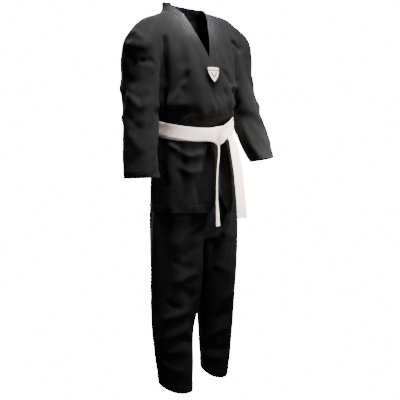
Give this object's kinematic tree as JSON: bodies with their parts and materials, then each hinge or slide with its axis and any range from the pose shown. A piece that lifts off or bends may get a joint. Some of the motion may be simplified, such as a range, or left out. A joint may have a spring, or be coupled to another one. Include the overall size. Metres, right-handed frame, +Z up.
{
  "type": "martial arts uniform",
  "caption": "V-neck pullover top with a chest badge, straight drawstring trousers and a tied belt with two hanging tails, standing in a worn shape.",
  "frame": {"origin": "middle of the base of the neck opening, between the shoulder points, where the wearer's shoulders carry the uniform", "axes": "+Z up along the body, -Y the front of the uniform, -X the wearer's right"},
  "size_m": [0.539, 0.261, 1.1781],
  "materials": {
    "black_cloth": "fine plain-weave black poly-cotton, matt with a soft sheen",
    "black_band": "the same black cloth, folded and top-stitched",
    "belt_cotton": "off-white cotton belt with lengthwise rows of stitching",
    "badge_cloth": "woven cream badge with a dark stitched edge",
    "label_cloth": "blank woven tape label",
    "elastic": "knitted waist elastic",
    "eyelet_metal": "rolled steel eyelet"
  },
  "bodies": {
    "garment_body": {"front_panel": "black_cloth", "front_hem_right": "black_band", "front_hem_left": "black_band", "lapel_right": "black_band", "lapel_left": "black_band", "back_neck_band": "black_band", "back_panel": "black_cloth", "neck_facing": "black_band", "size_label": "label_cloth", "chest_badge": "badge_cloth", "crotch_gusset": "black_band", "seat_front": "black_cloth", "seat_back": "black_cloth", "waistband_casing": "black_band", "waist_elastic": "elastic", "eyelet_right": "eyelet_metal", "eyelet_left": "eyelet_metal", "belt_first_turn": "belt_cotton", "belt_second_turn": "belt_cotton", "belt_knot": "belt_cotton"},
    "right_sleeve": {"sleeve_right": "black_cloth", "sleeve_hem_right": "black_band"},
    "left_sleeve": {"sleeve_left": "black_cloth", "sleeve_hem_left": "black_band"},
    "right_leg": {"leg_front_right": "black_cloth", "leg_back_right": "black_cloth", "leg_hem_right": "black_band"},
    "left_leg": {"leg_front_left": "black_cloth", "leg_back_left": "black_cloth", "leg_hem_left": "black_band"},
    "right_tail": {"belt_tail_right": "belt_cotton"},
    "left_tail": {"belt_tail_left": "belt_cotton"},
    "skirt_flap": {"back_skirt": "black_cloth", "back_hem": "black_band"}
  },
  "joints": [
    {"name": "right_sleeve_swing", "type": "hinge", "parent": "garment_body", "child": "right_sleeve", "pos_m": [-0.19, 0.036, -0.085], "axis": [-1, 0, 0], "range_deg": [-30, 60]},
    {"name": "left_sleeve_swing", "type": "hinge", "parent": "garment_body", "child": "left_sleeve", "pos_m": [0.19, 0.036, -0.085], "axis": [-1, 0, 0], "range_deg": [-30, 60]},
    {"name": "right_leg_swing", "type": "hinge", "parent": "garment_body", "child": "right_leg", "pos_m": [-0.08, 0.005, -0.6], "axis": [-1, 0, 0], "range_deg": [-20, 30]},
    {"name": "left_leg_swing", "type": "hinge", "parent": "garment_body", "child": "left_leg", "pos_m": [0.08, 0.005, -0.6], "axis": [-1, 0, 0], "range_deg": [-20, 30]},
    {"name": "right_tail_swing", "type": "hinge", "parent": "garment_body", "child": "right_tail", "pos_m": [0.008, -0.121, -0.386], "axis": [-1, 0, 0], "range_deg": [0, 75]},
    {"name": "left_tail_swing", "type": "hinge", "parent": "garment_body", "child": "left_tail", "pos_m": [0.052, -0.117, -0.368], "axis": [-1, 0, 0], "range_deg": [0, 75]},
    {"name": "back_skirt_lift", "type": "hinge", "parent": "garment_body", "child": "skirt_flap", "pos_m": [0, 0.112, -0.492], "axis": [1, 0, 0], "range_deg": [0, 35]}
  ]
}
